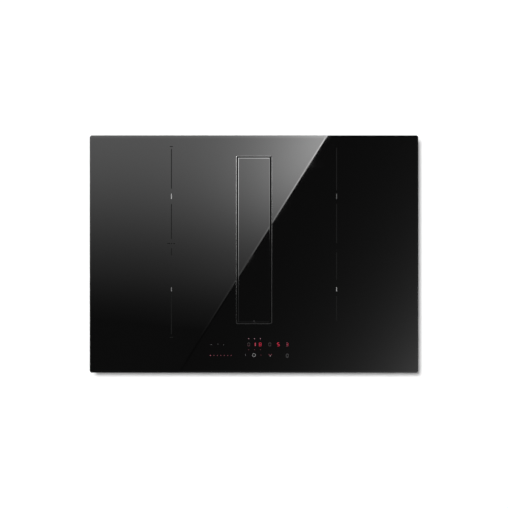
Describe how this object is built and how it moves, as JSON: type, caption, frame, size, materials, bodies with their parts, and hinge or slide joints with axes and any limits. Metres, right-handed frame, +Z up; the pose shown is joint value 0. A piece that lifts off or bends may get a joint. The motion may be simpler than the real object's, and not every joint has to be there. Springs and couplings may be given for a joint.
{
  "type": "downdraft induction cooktop",
  "caption": "Black glass induction cooktop with a pivoting glass flap over a central downdraft slot, shown with its casing, filter, plenum and blower.",
  "frame": {"origin": "middle of the glass top's outline, in the worktop plane that the gasket lies on", "axes": "+X to the right as the cook sees it, +Y to the back, +Z up out of the worktop"},
  "size_m": [0.72, 0.52, 0.2109],
  "materials": {
    "black_glass": "polished",
    "anodised_trim": "satin anodised",
    "sheet_steel": "galvanised",
    "black_coat": "matt black powder coat",
    "stainless": "satin",
    "bare_aluminium": "mill finish",
    "zinc_fastener": "zinc plated",
    "spring_steel": "bare",
    "foam_rubber": "matte",
    "black_plastic": "fine grain",
    "grey_plastic": "fine grain",
    "white_plastic": "satin",
    "copper_wire": "enamelled",
    "ferrite": "sintered",
    "mica": "matte",
    "circuit_board": "solder mask",
    "display_face": "gloss",
    "motor_steel": "black paint",
    "printed_mark": "matte fired print",
    "red_light": "lit segments behind glass"
  },
  "bodies": {
    "hob": {"blower_screws": "zinc_fastener", "cable_gland": "black_plastic", "casing_pan": "sheet_steel", "casing_screws": "zinc_fastener", "coil_carrier_left": "bare_aluminium", "coil_carrier_right": "bare_aluminium", "coil_former_front_left": "white_plastic", "coil_former_front_right": "white_plastic", "coil_former_rear_left": "white_plastic", "coil_former_rear_right": "white_plastic", "coil_sensors": "white_plastic", "coil_springs": "spring_steel", "coil_winding_front_left": "copper_wire", "coil_winding_front_right": "copper_wire", "coil_winding_rear_left": "copper_wire", "coil_winding_rear_right": "copper_wire", "display_modules": "display_face", "duct_seals": "foam_rubber", "fan_housing_left": "black_plastic", "fan_housing_right": "black_plastic", "ferrite_bars": "ferrite", "glass_top": "black_glass", "heatsink_left": "bare_aluminium", "heatsink_right": "bare_aluminium", "insulation_sheet_left": "mica", "insulation_sheet_right": "mica", "intake_duct": "black_plastic", "mains_filter_board": "circuit_board", "motor_housing": "motor_steel", "motor_stator": "copper_wire", "mounting_frame": "sheet_steel", "outlet_adapter": "grey_plastic", "plenum_cover": "black_plastic", "plenum_screws": "zinc_fastener", "plenum_tub": "black_plastic", "power_board_left": "circuit_board", "power_board_right": "circuit_board", "scroll_lower": "grey_plastic", "scroll_upper": "grey_plastic", "side_clips": "spring_steel", "slot_trim": "anodised_trim", "terminal_block": "white_plastic", "terminal_box": "black_plastic", "terminal_box_cover": "black_plastic", "touch_board": "circuit_board", "touch_board_tray": "white_plastic", "touch_springs": "spring_steel", "worktop_gasket": "foam_rubber"},
    "cradle": {"flap_cradle": "black_coat"},
    "flap": {"flap_glass": "black_glass", "flap_carrier": "bare_aluminium", "flap_pins": "stainless"},
    "filter": {"filter_frame": "stainless", "filter_mesh": "bare_aluminium", "filter_handle": "stainless"},
    "tray": {"drip_tray": "stainless"},
    "blower_rotor": {"impeller": "black_plastic", "motor_rotor": "stainless"},
    "fan_left": {"fan_rotor_left": "black_plastic"},
    "fan_right": {"fan_rotor_right": "black_plastic"}
  },
  "joints": [
    {"name": "cradle_lift", "type": "slide", "parent": "hob", "child": "cradle", "axis": [0, 0, 1], "range_m": [0, 0.32]},
    {"name": "flap_tilt", "type": "hinge", "parent": "cradle", "child": "flap", "pos_m": [0, 0.031, -0.002], "axis": [0, 1, 0], "range_deg": [0, 60]},
    {"name": "filter_lift", "type": "slide", "parent": "hob", "child": "filter", "axis": [0, 0, 1], "range_m": [0, 0.26]},
    {"name": "tray_lift", "type": "slide", "parent": "hob", "child": "tray", "axis": [0, 0, 1], "range_m": [0, 0.21]},
    {"name": "blower_spin", "type": "hinge", "parent": "hob", "child": "blower_rotor", "pos_m": [0.18341, -0.02, -0.1202], "axis": [0, 0, 1], "continuous": true},
    {"name": "fan_left_spin", "type": "hinge", "parent": "hob", "child": "fan_left", "pos_m": [-0.2876, -0.1918, -0.057], "axis": [0, 0, 1], "continuous": true},
    {"name": "fan_right_spin", "type": "hinge", "parent": "hob", "child": "fan_right", "pos_m": [0.2876, -0.1918, -0.057], "axis": [0, 0, 1], "continuous": true}
  ],
  "couplings": [
    {"joint": "filter_lift", "follows": "cradle_lift", "ratio": 0.8125},
    {"joint": "tray_lift", "follows": "cradle_lift", "ratio": 0.65625}
  ]
}
